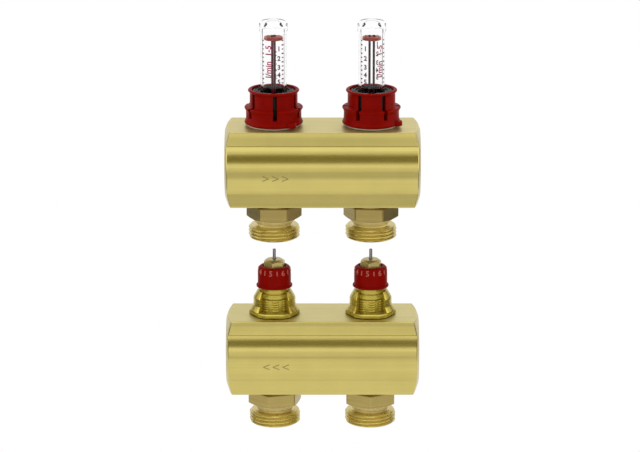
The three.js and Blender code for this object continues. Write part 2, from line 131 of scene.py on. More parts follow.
def hex_columns(across_flats, limit, turn_deg, count=NORMAL_COLUMNS):
    """Columns round a hexagon whose corners are rounded off at radius limit."""
    half = across_flats / 2
    edge = math.acos(min(1.0, half / limit))
    turn = math.radians(turn_deg) + FRONT
    angles = {round(TAU * i / count, 5) for i in range(count)}
    for side in range(6):
        corner = turn + side * TAU / 6
        middle = corner + TAU / 12
        for angle in (corner, middle - edge, middle + edge):
            angles.add(round(angle % TAU, 5))
    columns = []
    for angle in sorted(angles):
        off = (angle - turn) % (TAU / 6) - TAU / 12
        columns.append((angle, min(half / math.cos(off), limit)))
    columns.append((columns[0][0] + TAU, columns[0][1]))
    return columns


def inset_row(inset, height, _angle, outline):
    """A row that follows the columns' outline, inset from it."""
    return outline - inset, height


def thread(low, high, pitch, minor, major, envelope=None, steps=8, lands=None):
    """Rows of a right-hand thread, from low to high.

    envelope(height, radius) trims it, and lands(angle) is 0 where its crests are cut away.
    """
    count = math.ceil(((high - low) / pitch + 1) * steps) + 1

    def row(step, angle, _outline):
        height = low - pitch + pitch * (step / steps + angle / TAU)
        height = min(max(height, low), high)
        phase = (height - low) / pitch - angle / TAU
        crest = 0.5 - 0.5 * math.cos(TAU * phase)
        if lands:
            crest *= lands(angle)
        radius = minor + (major - minor) * crest
        return (envelope(height, radius) if envelope else radius), height

    return [partial(row, step) for step in range(count)]


# ---- Meshes ----

def turned(rows, columns=None, closed=None):
    """A surface turned about Z. A row is (radius, height) or a function of a column.

    closed says that the last row meets the first, as on a ring. A plain outline that starts
    away from the axis is taken to be one.
    """
    columns = columns or even_columns()
    closed = rows[0][0] > 0 if closed is None else closed
    grid = []
    for row in rows:
        line = []
        for angle, outline in columns:
            radius, height = row(angle, outline) if callable(row) else row
            line.append((radius * math.cos(angle), radius * math.sin(angle), height))
        grid.append(line)
    mesh = bmesh.new()
    verts = [[mesh.verts.new(Vector(p) * MM) for p in line] for line in grid]
    pairs = list(zip(verts, verts[1:])) + ([(verts[-1], verts[0])] if closed else [])
    for lower, upper in pairs:
        for i in range(len(columns) - 1):
            mesh.faces.new((lower[i], lower[i + 1], upper[i + 1], upper[i]))
    bmesh.ops.remove_doubles(mesh, verts=mesh.verts, dist=2e-7)
    bmesh.ops.dissolve_degenerate(mesh, dist=1e-8, edges=mesh.edges)
    bmesh.ops.recalc_face_normals(mesh, faces=mesh.faces)
    return mesh


def box_mesh(size, centre, turn=0.0):
    """A box in millimetres, turned about Z after it is moved to its centre."""
    mesh = bmesh.new()
    bmesh.ops.create_cube(mesh, size=1.0)
    scale = Matrix.Diagonal((*[s * MM for s in size], 1))
    around = Matrix.Rotation(turn, 4, "Z") @ Matrix.Translation(Vector(centre) * MM)
    bmesh.ops.transform(mesh, matrix=around @ scale, verts=mesh.verts)
    return mesh


def boxes_around(spec, start=0.0):
    """Boxes spaced evenly round the axis, to be cut from a piece."""
    turns = [start + TAU * i / spec["count"] for i in range(spec["count"])]
    return [box_mesh(spec["size"], spec["centre"], turn) for turn in turns]


def moved(mesh, matrix):
    bmesh.ops.transform(mesh, matrix=matrix, verts=mesh.verts)
    return mesh


def sweep(path, radius, sides=10):
    """A round wire along a list of points, in millimetres."""
    mesh = bmesh.new()
    points = [Vector(p) for p in path]
    loops = []
    for i, point in enumerate(points):
        ahead = points[min(i + 1, len(points) - 1)] - points[max(i - 1, 0)]
        across = ahead.cross(Vector((0, 0, 1))).normalized()
        up = across.cross(ahead).normalized()
        loop = []
        for side in range(sides):
            angle = TAU * side / sides
            offset = (across * math.cos(angle) + up * math.sin(angle)) * radius
            loop.append(mesh.verts.new((point + offset) * MM))
        loops.append(loop)
    for lower, upper in zip(loops, loops[1:]):
        for i in range(sides):
            j = (i + 1) % sides
            mesh.faces.new((lower[i], lower[j], upper[j], upper[i]))
    mesh.faces.new(loops[0])
    mesh.faces.new(list(reversed(loops[-1])))
    bmesh.ops.recalc_face_normals(mesh, faces=mesh.faces)
    return mesh


def to_object(mesh, name):
    data = bpy.data.meshes.new(name)
    mesh.to_mesh(data)
    mesh.free()
    made = bpy.data.objects.new(name, data)
    bpy.context.scene.collection.objects.link(made)
    return made


def to_mesh(piece):
    """Takes a helper object's mesh back and removes the object."""
    mesh = bmesh.new()
    mesh.from_mesh(piece.data)
    bpy.data.objects.remove(piece)
    return mesh


def apply_modifiers(piece):
    graph = bpy.context.evaluated_depsgraph_get()
    final = bpy.data.meshes.new_from_object(piece.evaluated_get(graph))
    piece.modifiers.clear()
    piece.data = final


def combine(piece, others, operation):
    """Joins meshes to a piece, or cuts them from it."""
    for i, mesh in enumerate(others):
        tool = to_object(mesh, f"tool_{i}")
        modifier = piece.modifiers.new("combine", "BOOLEAN")
        modifier.operation = operation
        modifier.solver = "EXACT"
        modifier.object = tool
        apply_modifiers(piece)
        bpy.data.objects.remove(tool)


def round_edges(piece, width, angle_deg=35, segments=2):
    bevel = piece.modifiers.new("round_edges", "BEVEL")
    bevel.width = width * MM
    bevel.segments = segments
    bevel.limit_method = "ANGLE"
    bevel.angle_limit = math.radians(angle_deg)
    bevel.harden_normals = False
    apply_modifiers(piece)


def shade(piece, angle_deg=32):
    data = piece.data
    data.polygons.foreach_set("use_smooth", [True] * len(data.polygons))
    data.set_sharp_from_angle(angle=math.radians(angle_deg))


def place(piece, node, at, material=None, angle_deg=32):
    """Puts a finished piece on its circuit's axis, in place of its CAD node.

    A piece that has painted faces already comes without a material.
    """
    shade(piece, angle_deg)
    piece.name = piece.data.name = node + "_look"
    piece.location = at
    if material:
        piece.data.materials.append(MATERIALS[material])
    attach(piece, frame["nodes"][node]["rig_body"])
    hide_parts(node)


def place_print(mesh, name, material, at, node):
    """Puts print or other marks, which have no CAD node, on the body of a node."""
    piece = to_object(mesh, name)
    piece.data.materials.append(MATERIALS[material])
    piece.location = at
    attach(piece, frame["nodes"][node]["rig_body"])
    return piece


def paint_faces(piece, materials, pick):
    """Gives each face the material whose index pick(face) returns."""
    piece.data.materials.clear()
    for material in materials:
        piece.data.materials.append(MATERIALS[material])
    for face in piece.data.polygons:
        face.material_index = pick(face)


# ---- Materials ----

SLOTS = {row["node"]: row["material_slot"] for row in frame["record"]["subparts"]}


class Nodes:
    """Short names for building a material's nodes."""

    def __init__(self, name):
        self.material = bpy.data.materials.new(name)
        self.material.use_nodes = True
        self.tree = self.material.node_tree
        self.shader = self.tree.nodes["Principled BSDF"]

    def add(self, kind, **inputs):
        node = self.tree.nodes.new(kind)
        for key, value in inputs.items():
            self.set(node, key, value)
        return node

    def set(self, node, key, value):
        socket = node.inputs[key]
        if isinstance(value, bpy.types.NodeSocket):
            self.tree.links.new(value, socket)
        else:
            socket.default_value = value

    def look(self, **inputs):
        for key, value in inputs.items():
            self.set(self.shader, key.replace("_", " "), value)
        return self

    def coordinates(self, scale):
        texture = self.add("ShaderNodeTexCoord")
        mapping = self.add("ShaderNodeMapping", Vector=texture.outputs["Object"], Scale=scale)
        return mapping.outputs["Vector"]

    def noise(self, scale, detail=3.0, roughness=0.55):
        """Noise with its own number of features per metre along each axis."""
        node = self.add("ShaderNodeTexNoise", Vector=self.coordinates(scale), Scale=1.0,
                        Detail=detail, Roughness=roughness)
        return node.outputs["Fac"]

    def spread(self, value, low, high, start=0.3, end=0.7):
        node = self.add("ShaderNodeMapRange", Value=value)
        for key, number in (("From Min", start), ("From Max", end), ("To Min", low), ("To Max", high)):
            node.inputs[key].default_value = number
        return node.outputs["Result"]

    def mix(self, value, first, second):
        node = self.tree.nodes.new("ShaderNodeMix")
        node.data_type = "RGBA"
        self.tree.links.new(value, node.inputs["Factor"])
        for socket, colour in ((node.inputs[6], first), (node.inputs[7], second)):
            if isinstance(colour, bpy.types.NodeSocket):
                self.tree.links.new(colour, socket)
            else:
                socket.default_value = (*colour, 1)
        return node.outputs[2]

    def bump(self, height, strength, distance, normal=None):
        node = self.add("ShaderNodeBump", Height=height, Strength=strength, Distance=distance * MM)
        if normal:
            self.tree.links.new(normal, node.inputs["Normal"])
        return node.outputs["Normal"]


def brass(name, light, dark, grain, roughness, metal=1.0):
    """Machined brass. grain is the number of lines per metre along each axis."""
    nodes = Nodes(name)
    lines = nodes.noise(grain, detail=4)
    coarse = nodes.noise([g * 0.23 for g in grain], detail=2)
    cloud = nodes.noise((60, 60, 60), detail=2)
    shade_of = nodes.spread(coarse, 0.0, 1.0)
    colour = nodes.mix(shade_of, dark, light)
    colour = nodes.mix(nodes.spread(cloud, 0.0, 0.35), colour, tuple(0.86 * c for c in dark))
    nodes.look(Base_Color=colour, Metallic=metal, Roughness=nodes.spread(lines, *roughness),
               Normal=nodes.bump(lines, 0.1, 0.02))
    return nodes.material


def moulded(name, light, dark, roughness, shine=0.14):
    """Moulded plastic with a slightly uneven, satin skin."""
    nodes = Nodes(name)
    cloud = nodes.noise((220, 220, 160), detail=3)
    grain = nodes.noise((5200, 5200, 5200), detail=2)
    low, high = roughness
    nodes.look(Base_Color=nodes.mix(nodes.spread(cloud, 0.0, 1.0), light, dark),
               Roughness=nodes.spread(cloud, low, high), IOR=1.5, Specular_IOR_Level=shine,
               Normal=nodes.bump(grain, 0.12, 0.02))
    return nodes.material


def clear_plastic(name):
    nodes = Nodes(name)
    haze = nodes.noise((90, 90, 40), detail=2)
    nodes.look(Base_Color=(1, 1, 1, 1), Transmission_Weight=1.0, IOR=1.33,
               Roughness=nodes.spread(haze, 0.0, 0.03),
               Normal=nodes.bump(haze, 0.05, 0.05))
    return nodes.material


def steel(name, light, dark, grain):
    nodes = Nodes(name)
    lines = nodes.noise(grain, detail=3)
    nodes.look(Base_Color=nodes.mix(nodes.spread(lines, 0.0, 1.0), dark, light), Metallic=1.0,
               Roughness=nodes.spread(lines, 0.22, 0.4), Normal=nodes.bump(lines, 0.2, 0.01))
    return nodes.material


def ink(name, colour):
    nodes = Nodes(name)
    wear = nodes.noise((2500, 2500, 2500), detail=2)
    faded = tuple(c + 0.05 for c in colour)
    nodes.look(Base_Color=nodes.mix(nodes.spread(wear, 0.0, 1.0), colour, faded), Roughness=0.5,
               Specular_IOR_Level=0.1)
    return nodes.material


LENGTHWISE = (18, 2600, 2600)     # grain, in lines per metre along each axis
ROUND_ABOUT = (40, 40, 5200)
RADIAL = (40, 2200, 2200)


def each(maker, *rows):
    """Materials by name. A row holds a name and what the maker takes after it."""
    return {name: maker(name, *values) for name, *values in rows}


MATERIALS = each(
    brass,
    ("bar_brass", (0.61, 0.51, 0.165), (0.565, 0.47, 0.143), LENGTHWISE, (0.16, 0.24)),
    ("bar_end", (0.66, 0.57, 0.24), (0.58, 0.48, 0.17), RADIAL, (0.26, 0.42)),
    ("bar_flat", (0.67, 0.59, 0.25), (0.62, 0.53, 0.22), LENGTHWISE, (0.4, 0.5)),
    ("etched_brass", (0.4, 0.32, 0.1), (0.32, 0.25, 0.07), LENGTHWISE, (0.5, 0.6), 0.7),
    ("outlet_brass", (0.70, 0.57, 0.19), (0.58, 0.46, 0.14), ROUND_ABOUT, (0.2, 0.3), 0.8),
    ("hex_brass", (0.47, 0.36, 0.125), (0.37, 0.28, 0.09), ROUND_ABOUT, (0.26, 0.4)),
    # The outlets' necks and cones: brass painted pale and nearly matt, a painted reflection of the white
    # floor.
    ("neck_brass", (0.9, 0.77, 0.37), (0.82, 0.7, 0.32), ROUND_ABOUT, (0.3, 0.4), 0.3),
    ("insert_brass", (0.6, 0.485, 0.085), (0.47, 0.37, 0.055), ROUND_ABOUT, (0.22, 0.34), 0.75),
    ("nut_brass", (0.6, 0.48, 0.19), (0.5, 0.39, 0.13), ROUND_ABOUT, (0.26, 0.4), 0.7))
MATERIALS |= each(
    moulded,
    ("red_plastic", (0.235, 0.003, 0.0006), (0.2, 0.002, 0.0005), (0.3, 0.42), 0.03),
    ("coral_plastic", (0.4, 0.042, 0.02), (0.24, 0.026, 0.012), (0.3, 0.45), 0.08),
    ("stem_plastic", (0.05, 0.011, 0.013), (0.024, 0.008, 0.009), (0.3, 0.45), 0.08),
    ("maroon_plastic", (0.15, 0.018, 0.03), (0.06, 0.009, 0.015), (0.3, 0.45), 0.08),
    ("black_plastic", (0.008, 0.011, 0.008), (0.004, 0.006, 0.004), (0.2, 0.3), 0.1),
    ("pale_plastic", (0.78, 0.68, 0.6), (0.66, 0.58, 0.5), (0.35, 0.5), 0.4),
    ("seal_rubber", (0.02, 0.02, 0.02), (0.012, 0.012, 0.012), (0.6, 0.8)))
MATERIALS |= each(
    steel,
    ("pin_steel", (0.36, 0.34, 0.33), (0.2, 0.19, 0.18), (300, 300, 6000)),
    ("spring_steel", (0.62, 0.62, 0.60), (0.48, 0.48, 0.46), (3000, 3000, 3000)))
MATERIALS |= each(
    ink,
    ("scale_numbers", (0.10, 0.006, 0.03)),
    ("scale_unit", (0.42, 0.015, 0.09)),
    ("ring_numbers", (0.4, 0.08, 0.058)))
MATERIALS |= each(clear_plastic, ("clear_plastic",))


# ---- Placing ----

def axis_of(side, circuit):
    """The (x, y) of a circuit's axis, which the seal of its outlet is centred on."""
    low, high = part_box(f"{side}_outlet_seal_{circuit}")
    return (low.x + high.x) / 2, (low.y + high.y) / 2


def bar_point(side, circuit, end):
    """The point where a circuit's axis meets its bar's bottom or top face."""
    return Vector((*axis_of(side, circuit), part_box(f"{side}_bar")[end].z))


# ---- Bars ----

BAR_HALF_DEPTH = 17.0
END_FACE_R = 17.3
END_SLOPE = 0.34
END_ROUNDING = 0.4
CORNER_ROUNDING = 0.6
GROOVE_DEPTH = 0.35               # of the fine line where the round front meets the flat strips
GROOVE_WIDTH = 0.3
GROOVE_WALLS = (0.0005, 0.0135)   # angles from the crease to the groove's two lower corners
BAR_STEPS = {"front": 14, "side": 3, "corner": 4, "top": 8}
BORE_R = 13.5
MARK = {"across": (-29, -24, -19), "up": -3.8, "size": 7.0, "depth": 0.03}
SOCKET = {"minor": 15.15, "major": 16.6, "pitch": 2.309, "depth": 14.0, "mouth": 16.95}
# A port's (radius, depth) from the flat face: its hole, then the wider pocket of the seal.
PORT = ((0, 19), (10.4, 19), (10.4, 1.8), (12.3, 1.8), (12.3, -1), (0, -1))
PORT_COLUMNS = 64
Z_TO_X = Matrix(((0, 0, 1, 0), (1, 0, 0, 0), (0, 1, 0, 0), (0, 0, 0, 1)))


def bar_quarter(barrel_r, half_height, has_groove):
    """A quarter of the bar's outline as (y, z), from the middle of its front to its top."""
    steps = BAR_STEPS
    crease = math.acos(BAR_HALF_DEPTH / barrel_r)
    rise = barrel_r * math.sin(crease)
    turns = [crease * i / steps["front"] for i in range(steps["front"] + 1)]
    outline = [(barrel_r * math.cos(turn), barrel_r * math.sin(turn)) for turn in turns]
    if has_groove:
        floor_r = barrel_r - GROOVE_DEPTH
        outline += [(floor_r * math.cos(crease + turn), floor_r * math.sin(crease + turn))
                    for turn in GROOVE_WALLS]
        rise += GROOVE_WIDTH
        outline.append((BAR_HALF_DEPTH, rise))
    y, z = BAR_HALF_DEPTH - CORNER_ROUNDING, half_height - CORNER_ROUNDING
    outline += [(BAR_HALF_DEPTH, rise + (z - rise) * i / steps["side"])
                for i in range(1, steps["side"] + 1)]
    for i in range(1, steps["corner"] + 1):
        angle = TAU / 4 * i / steps["corner"]
        outline.append((y + CORNER_ROUNDING * math.cos(angle), z + CORNER_ROUNDING * math.sin(angle)))
    return outline + [(y * (1 - i / steps["top"]), half_height) for i in range(1, steps["top"] + 1)]


def bar_columns(barrel_r, half_height):
    """The bar's outline seen from its end, as (angle, radius) columns."""
    upper = bar_quarter(barrel_r, half_height, True)
    lower = [(y, -z) for y, z in bar_quarter(barrel_r, half_height, False)]
    outline = upper + [(-y, z) for y, z in reversed(upper[:-1])]
    outline += [(-y, z) for y, z in lower[1:]] + list(reversed(lower[1:-1]))
    columns = [(math.atan2(z, y) % TAU, math.hypot(y, z)) for y, z in outline]
    columns.append((TAU, columns[0][1]))
    return columns


def bar_rows(half_length):
    """The bar's surface along its axis: the outside and, back again, the bore and sockets."""
    def end(radius):
        return half_length - END_SLOPE * max(0.0, radius - END_FACE_R)

    def rim(t, side, _angle, outline):
        inner = Vector((outline - END_ROUNDING, end(outline - END_ROUNDING)))
        tip = Vector((outline, end(outline)))
        outer = Vector((outline, end(outline) - END_ROUNDING))
        point = inner * (1 - t) ** 2 + tip * 2 * t * (1 - t) + outer * t ** 2
        return point.x, side * point.y

    def mouth(height, radius):
        return max(radius, SOCKET["mouth"] - (half_length - abs(height)))

    steps = (0.0, 0.33, 0.67, 1.0)
    socket_end = half_length - SOCKET["depth"]
    bore_end = socket_end - (SOCKET["minor"] - BORE_R)
    sizes = SOCKET["pitch"], SOCKET["minor"], SOCKET["major"], mouth
    rows = [partial(rim, t, -1) for t in steps]
    rows += [partial(inset_row, 0.0, x) for x in (-0.5 * half_length, 0.0, 0.5 * half_length)]
    rows += [partial(rim, t, 1) for t in reversed(steps)]
    rows += [(END_FACE_R, half_length)]
    rows += list(reversed(thread(socket_end, half_length, *sizes)))
    rows += [(BORE_R, bore_end), (BORE_R, 0.0), (BORE_R, -bore_end)]
    rows += list(reversed(thread(-half_length, -socket_end, *sizes)))
    rows += [(END_FACE_R, -half_length)]
    return rows


def port_cutters(side, middle, half_height):
    """What is cut from a bar at each circuit, from above and from below."""
    cutters = []
    rows = [(radius, half_height - depth) for radius, depth in PORT]
    for circuit in CIRCUITS:
        across = axis_of(side, circuit)[0] - middle.x
        for up in (1, -1):
            cutter = moved(turned(rows, even_columns(PORT_COLUMNS)),
                           Matrix.Translation((across, 0, 0)) @ Matrix.Diagonal((1, 1, up, 1)))
            bmesh.ops.recalc_face_normals(cutter, faces=cutter.faces)
            cutters.append(cutter)
    return cutters


def bar_finish(face):
    """Turned ends, matt flat strips above and below, and brushed brass for the rest."""
    is_end = abs(face.normal.x) > 0.6
    is_flat = abs(face.normal.z) > 0.99
    return 1 if is_end else 2 if is_flat else 0


def make_bar(side):
    node = f"{side}_bar"
    low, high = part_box(node)
    size = (high - low) / MM
    middle = (low + high) / 2
    half_height = size.z / 2
    mesh = turned(bar_rows(size.x / 2), bar_columns(size.y / 2, half_height), closed=True)
    piece = to_object(moved(mesh, Z_TO_X), node)
    combine(piece, port_cutters(side, middle, half_height), "DIFFERENCE")
    paint_faces(piece, ("bar_brass", "bar_end", "bar_flat"), bar_finish)
    place(piece, node, middle, angle_deg=24)
    mark_flow(side, middle, size)


def mark_flow(side, middle, size):
    """Three etched chevrons on the round front, which show the way the water flows."""
    def on_barrel(across, up, out):
        radius = size.y / 2 + out
        tilt = (up + MARK["up"]) / radius
        return across, -radius * math.cos(tilt), radius * math.sin(tilt)

    sign = {"supply": ">", "return": "<"}[side]
    marks = []
    for across in MARK["across"]:
        mark = moved(lettering(sign, MARK["size"], MARK["depth"]), Matrix.Translation((across, 0, 0)))
        marks.append(wrap(mark, on_barrel))
    place_print(join_meshes(marks), f"{side}_flow_marks", "etched_brass", middle, f"{side}_bar")


# ---- Outlets ----

OUTLET = {"bore": 7.2, "mouth": 9.2, "shank": 10.0, "reach": 5.0, "lead": 0.4,
          "seat": 5.5, "seat_height": 1.5, "seat_lead": 0.3,
          "washer_top": -0.3, "washer_r": 11.8, "washer_edge": 0.2,
          "flats": 25.0, "limit": 14.2, "hex_top": -1.9, "hex_edge": 0.35, "hex_corner": -8.2,
          "cone_r": 12.0, "cone_top": -9.0, "cone_low": -11.9, "cone_low_r": 9.2, "neck": 8.9,
          "collar_top": -13.0, "end": -19.5, "mouth_depth": 4.5}
G34 = {"pitch": 1.814, "minor": 12.05, "major": 13.2, "top_r": 12.3, "end_r": 12.25, "slope": 1.1}
SEAL = {"section": (10.3, 12.0, -1.5, 0), "rounding": 0.5}


def trim_collar(height, radius):
    """The threaded collar is bevelled at both ends."""
    above = G34["top_r"] + (OUTLET["collar_top"] - height) * G34["slope"]
    below = G34["end_r"] + (height - OUTLET["end"]) * G34["slope"]
    return min(radius, above, below)


def outlet_top(has_seat):
    """From the bore, over the seat's lip where there is one, to the washer face."""
    o = OUTLET
    foot = o["reach"] - o["seat_height"]
    lip = [(o["seat"], foot), (o["seat"], o["reach"] - o["seat_lead"]),
           (o["seat"] + o["seat_lead"], o["reach"])]
    rows = [(o["bore"], foot)] + (lip if has_seat else [(o["bore"], o["reach"])])
    rows += [(o["shank"] - o["lead"], o["reach"]), (o["shank"], o["reach"] - o["lead"]),
             (o["shank"], o["washer_top"]), (o["washer_r"] - o["washer_edge"], o["washer_top"]),
             (o["washer_r"], o["washer_top"] - o["washer_edge"]), (o["washer_r"], o["hex_top"])]
    return rows


def outlet_rows(has_seat):
    o = OUTLET
    slope = (o["hex_corner"] - o["cone_top"]) / (o["limit"] - o["cone_r"])

    def hex_low(_angle, outline):
        return outline, o["cone_top"] + (outline - o["cone_r"]) * slope

    rows = outlet_top(has_seat)
    rows += [partial(inset_row, o["hex_edge"], o["hex_top"]),
             partial(inset_row, 0.0, o["hex_top"] - o["hex_edge"]), hex_low]
    rows += [(o["cone_r"] + 0.1, o["cone_top"]), (o["cone_r"] - 0.2, o["cone_top"] - 0.15),
             (o["cone_low_r"] + 0.3, o["cone_low"] + 0.3), (o["neck"] + 0.05, o["cone_low"] - 0.1),
             (o["neck"], o["cone_low"] - 0.4), (o["neck"], o["collar_top"] + 0.4),
             (o["neck"] + 0.2, o["collar_top"] + 0.2), (o["neck"] + 0.6, o["collar_top"])]
    rows += list(reversed(thread(o["end"], o["collar_top"], G34["pitch"], G34["minor"],
                                 G34["major"], trim_collar, steps=10)))
    mouth_top = o["end"] + o["mouth_depth"]
    rows += [(o["mouth"] + 0.3, o["end"]), (o["mouth"], o["end"] + 0.3), (o["bore"], mouth_top)]
    return rows


def outlet_finish(face):
    """The hexagon is darker than the threaded collar and the inside; the neck and the cone above it are
    painted paler, a painted reflection of the white floor.
    """
    height = face.center.z / MM
    is_outside = math.hypot(face.center.x, face.center.y) / MM > OUTLET["bore"] + 0.2
    if is_outside and OUTLET["cone_top"] - 0.1 < height < OUTLET["washer_top"]:
        return 1
    if is_outside and OUTLET["collar_top"] + 0.1 < height < OUTLET["cone_top"] - 0.1:
        return 2
    return 0


def make_outlet(side, circuit, at, turn_deg):
    node = f"{side}_outlet_{circuit}"
    columns = hex_columns(OUTLET["flats"], OUTLET["limit"], turn_deg, 120)
    piece = to_object(turned(outlet_rows(side == "return"), columns), node)
    # The third material paints the neck and cone paler, as a painted reflection of the white floor.
    paint_faces(piece, ("outlet_brass", "hex_brass", "neck_brass"), outlet_finish)
    place(piece, node, at, angle_deg=28)


def make_seal(node, at, up):
    """A flat seal with rounded edges, seated in its pocket above or below a bar's face."""
    rows = soft(section(*SEAL["section"]), SEAL["rounding"], closed=True)
    rows = [(radius, up * height) for radius, height in rows]
    place(to_object(turned(rows), node), node, at, "seal_rubber")


# ---- Print ----

def lettering(text, size, depth, weight=0.0):
    """A text's mesh, centred on the origin in X and Y, in millimetres. weight thickens it."""
    curve = bpy.data.curves.new("lettering", "FONT")
    curve.body = text
    curve.size = size
    curve.extrude = depth / 2
    curve.offset = weight
    curve.resolution_u = 3
    curve.align_x = "CENTER"
    curve.align_y = "CENTER"
    holder = bpy.data.objects.new("lettering", curve)
    bpy.context.scene.collection.objects.link(holder)
    graph = bpy.context.evaluated_depsgraph_get()
    data = bpy.data.meshes.new_from_object(holder.evaluated_get(graph))
    mesh = bmesh.new()
    mesh.from_mesh(data)
    bmesh.ops.remove_doubles(mesh, verts=mesh.verts, dist=1e-5)
    bpy.data.objects.remove(holder)
    bpy.data.meshes.remove(data)
    return mesh


def wrap(mesh, surface):
    """Moves each point of a flat mesh, built in millimetres, to surface(across, up, out)."""
    for vert in mesh.verts:
        vert.co = Vector(surface(*vert.co)) * MM
    return mesh


def on_cylinder(radius, angle, height, across, up, out):
    turn = angle + across / radius
    return (radius + out) * math.cos(turn), (radius + out) * math.sin(turn), height + up


def join_meshes(meshes):
    whole = bmesh.new()
    for mesh in meshes:
        data = bpy.data.meshes.new("piece")
        mesh.to_mesh(data)
        mesh.free()
        whole.from_mesh(data)
        bpy.data.meshes.remove(data)
    return whole


# ---- Flow meter ----

FLOW_INSERT = {"bore": 6.6, "top": 7.5, "neck": 9.6, "flange": 13.6, "flange_low": 0.3,
               "flange_top": 0.9, "shank": 10, "shank_low": -7, "web_top": -9, "web_low": -11,
               "web_hole": 1.65, "cage": 8.8, "cage_bore": 7.6, "end": -34.2}
CAGE_WINDOWS = {"count": 4, "size": (4, 7, 12), "centre": (8.2, 0, -20)}
SLEEVE = (6.4, 7.3, -31, -17)     # inner radius, outer radius, low and high, as for all rings
GLASS_SEAL = (7.05, 7.9, 11.3, 12.3)
BAFFLE = (1.55, 5.8, -37, -35.8)
COLLAR = {"outer": 10.8, "inner": 7.1, "skirt": 9.9, "low": 1.2, "ledge_low": 7.8, "ledge": 8.7,
          "hole": 5.4, "seal_r": 8.2, "seal_low": 11.0, "seal_high": 12.6, "serrations": 36,
          "serration_depth": 0.18}
# Concentric ribs round the collar's top, as seen down the locking ring's opening.
COLLAR_RIBS = [(10.8, 17.9), (10.6, 18.2), (10.2, 18.2), (10.1, 18.6), (9.7, 18.7), (9.5, 18.2),
               (9.0, 18.0), (8.8, 18.5), (8.4, 18.5), (8.2, 17.7), (7.8, 17.6), (7.6, 18.0),
               (7.3, 18.0), (7.1, 17.7)]
GLASS = {"outer": 6.75, "bore": 5.4, "low": 9.0, "bore_top": 52.7, "cap_low": 49.0, "cap": 7.25,
         "top": 54.8, "crown": 2.1, "crown_steps": 10}
# The bore's domed end, as (radius, depth below its top).
GLASS_DOME = ((0, 0), (1.8, 0.1), (3.2, 0.4), (4.3, 0.9), (5.0, 1.5), (5.3, 2.0), (5.4, 2.5), (5.4, 2.8))
INDICATOR = {"disc_low": 44.8, "disc_high": 46.4, "disc_r": 4.85, "slot": (4.0, 1.8, 6)}
STEM = {"r": 1.25, "low": -37.6, "shoulder_r": 2.4, "shoulder": 14.2, "top": 15.4}
ROD = {"section": (0, 0.6, 14.8, 47.7), "apart": 1.1}
METER_SPRING = {"radius": 2.75, "wire": 0.25, "low": -8.7, "high": 13.9, "turns": 7, "travel": 18.0}
PRINT_R = 6.79
PRINT_DEPTH = 0.03
NUMBER_HEIGHTS = (41.0, 36.0, 31.4, 27.4, 23.8)
NUMBERS = {"size": 3.4, "weight": 0.12}
TICKS = {"high": 45.5, "low": 22.0, "step": 2.2, "sizes": (3.2, 4.4), "weight": 0.14}
UNIT = {"text": "l/min  1-5", "height": 34.5, "size": 4.4, "weight": 0.1}


def flow_insert_rows():
    f = FLOW_INSERT
    inside = [(f["bore"], f["top"] - 0.3), (f["bore"], f["web_top"]), (f["web_hole"], f["web_top"]),
              (f["web_hole"], f["web_low"]), (f["cage_bore"], f["web_low"]),
              (f["cage_bore"], f["end"])]
    shank = [(f["cage"] - 0.3, f["end"]), (f["cage"], f["end"] + 0.3), (f["cage"], f["shank_low"]),
             (f["shank"] - 0.4, f["shank_low"]), (f["shank"], f["shank_low"] + 0.4),
             (f["shank"], f["flange_low"])]
    flange = [(f["flange"] - 0.2, f["flange_low"]), (f["flange"], f["flange_low"] + 0.15),
              (f["flange"], f["flange_top"] - 0.15), (f["flange"] - 0.2, f["flange_top"])]
    neck = [(f["neck"], f["flange_top"]), (f["neck"], f["top"] - 0.4), (f["neck"] - 0.4, f["top"]),
            (f["bore"] + 0.3, f["top"])]
    return inside + shank + flange + neck


def make_flow_insert(node, at):
    piece = to_object(turned(flow_insert_rows()), node)
    combine(piece, boxes_around(CAGE_WINDOWS, TAU / 8), "DIFFERENCE")
    place(piece, node, at, "pale_plastic")


def collar_rows():
    c = COLLAR
    foot = [(c["skirt"], c["low"] + 0.2), (c["skirt"] + 0.2, c["low"]), (c["outer"] - 0.2, c["low"]),
            (c["outer"], c["low"] + 0.2)]
    groove = [(c["inner"], c["seal_high"]), (c["seal_r"], c["seal_high"]),
              (c["seal_r"], c["seal_low"]), (c["inner"], c["seal_low"])]
    ledge = [(c["inner"], c["ledge"]), (c["hole"], c["ledge"]), (c["hole"], c["ledge_low"]),
             (c["skirt"], c["ledge_low"])]
    return foot + COLLAR_RIBS + groove + ledge


def make_collar(node, at):
    """Fine vertical serrations run round the outside."""
    c = COLLAR

    def ridged(radius, height, angle, _outline):
        wave = 0.5 + 0.5 * math.cos(c["serrations"] * angle)
        return radius - c["serration_depth"] * wave, height

    rows = []
    for radius, height in collar_rows():
        is_outside = radius == c["outer"]
        rows.append(partial(ridged, radius, height) if is_outside else (radius, height))
    piece = to_object(turned(rows, even_columns(c["serrations"] * 6)), node)
    place(piece, node, at, "black_plastic")


def glass_crown():
    """The rounded shoulder of the glass head, from its side to its flat top."""
    rows = []
    for i in range(GLASS["crown_steps"] + 1):
        angle = TAU / 4 * i / GLASS["crown_steps"]
        rows.append((GLASS["cap"] - GLASS["crown"] * (1 - math.cos(angle)),
                     GLASS["top"] - 0.25 - GLASS["crown"] * (1 - math.sin(angle))))
    return rows + [(2.6, GLASS["top"] - 0.06), (0, GLASS["top"])]


